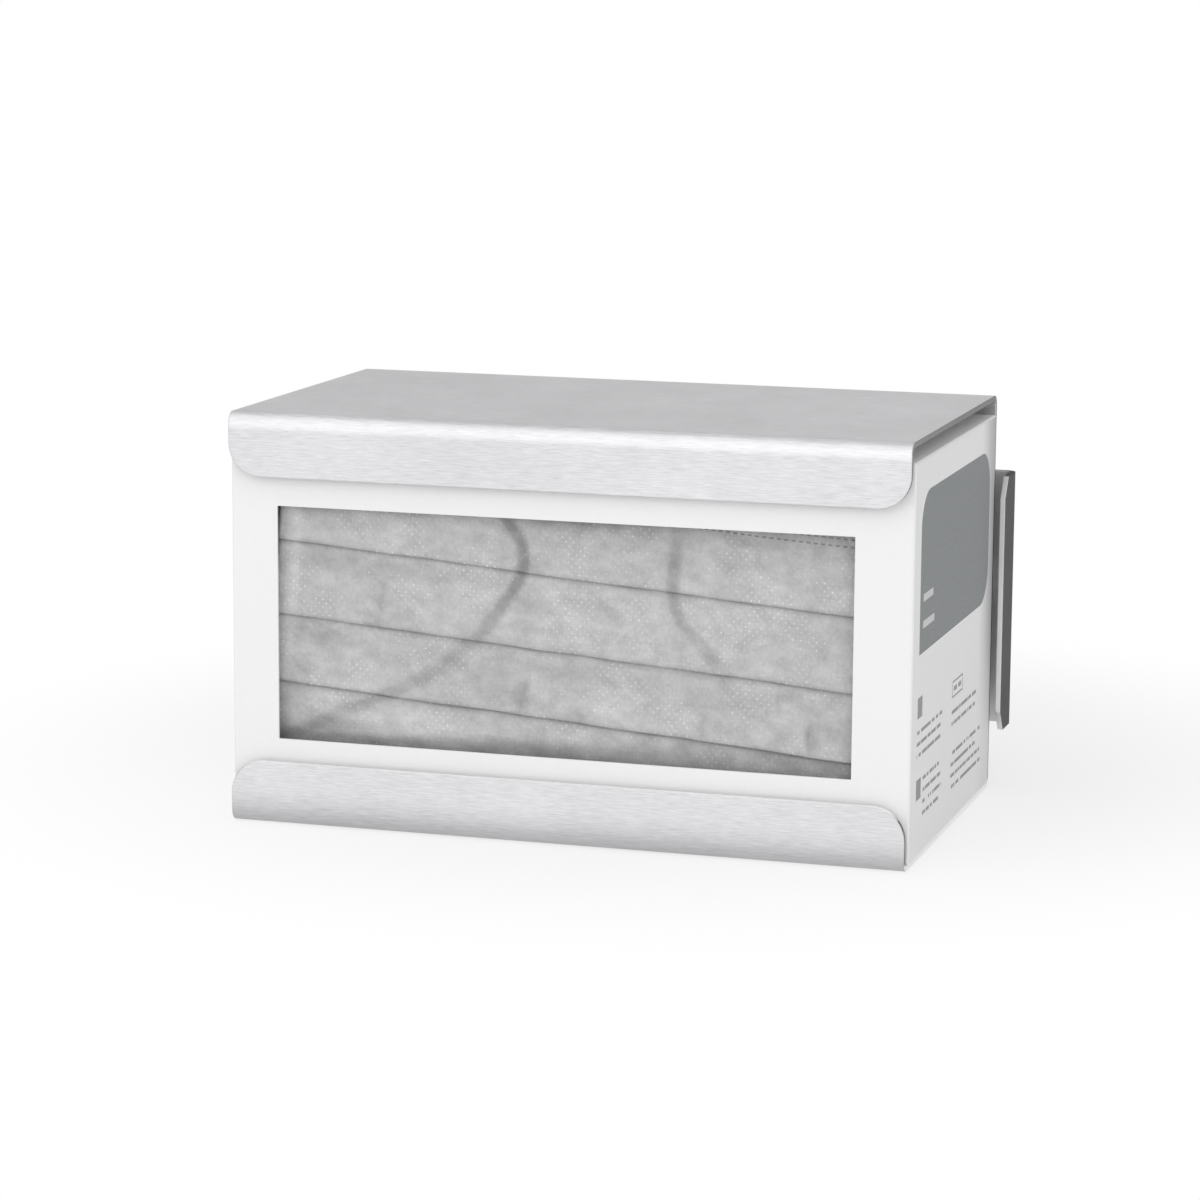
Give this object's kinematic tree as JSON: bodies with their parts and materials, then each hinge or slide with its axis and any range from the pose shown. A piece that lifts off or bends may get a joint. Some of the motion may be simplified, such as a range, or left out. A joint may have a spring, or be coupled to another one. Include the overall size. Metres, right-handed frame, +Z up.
{
  "type": "face mask dispenser",
  "caption": "Wall-hung folded steel holder gripping a windowed carton of pleated face masks, carried on standoffs by a U-shaped wall bracket.",
  "frame": {"origin": "centre of the wall bracket's back face, on the wall", "axes": "+X to the right along the front, +Y into the wall, +Z up"},
  "size_m": [0.1968, 0.1258, 0.114],
  "materials": {
    "brushed_steel": "fine horizontal brush lines",
    "fixing_steel": "turned, satin",
    "white_board": "smooth coated board, printed with plain grey shapes",
    "mask_fabric": "soft non-woven fabric, point-bonded"
  },
  "bodies": {
    "root": {"holder_shell": "brushed_steel", "wall_bracket": "brushed_steel", "bracket_standoffs": "fixing_steel", "holder_screws": "fixing_steel", "mask_carton": "white_board", "mask_01": "mask_fabric", "mask_02": "mask_fabric", "mask_03": "mask_fabric", "mask_04": "mask_fabric", "mask_05": "mask_fabric", "mask_06": "mask_fabric", "mask_07": "mask_fabric", "mask_08": "mask_fabric", "mask_09": "mask_fabric", "mask_10": "mask_fabric", "mask_11": "mask_fabric", "mask_12": "mask_fabric", "mask_13": "mask_fabric", "mask_14": "mask_fabric", "mask_15": "mask_fabric", "mask_16": "mask_fabric", "mask_17": "mask_fabric", "mask_18": "mask_fabric", "mask_19": "mask_fabric", "mask_20": "mask_fabric", "mask_21": "mask_fabric", "mask_22": "mask_fabric", "mask_23": "mask_fabric", "mask_24": "mask_fabric", "mask_25": "mask_fabric", "mask_26": "mask_fabric", "mask_27": "mask_fabric", "mask_28": "mask_fabric", "mask_29": "mask_fabric", "mask_30": "mask_fabric", "mask_31": "mask_fabric", "mask_32": "mask_fabric", "mask_33": "mask_fabric", "mask_34": "mask_fabric", "mask_35": "mask_fabric", "mask_36": "mask_fabric", "mask_37": "mask_fabric"}
  },
  "joints": []
}
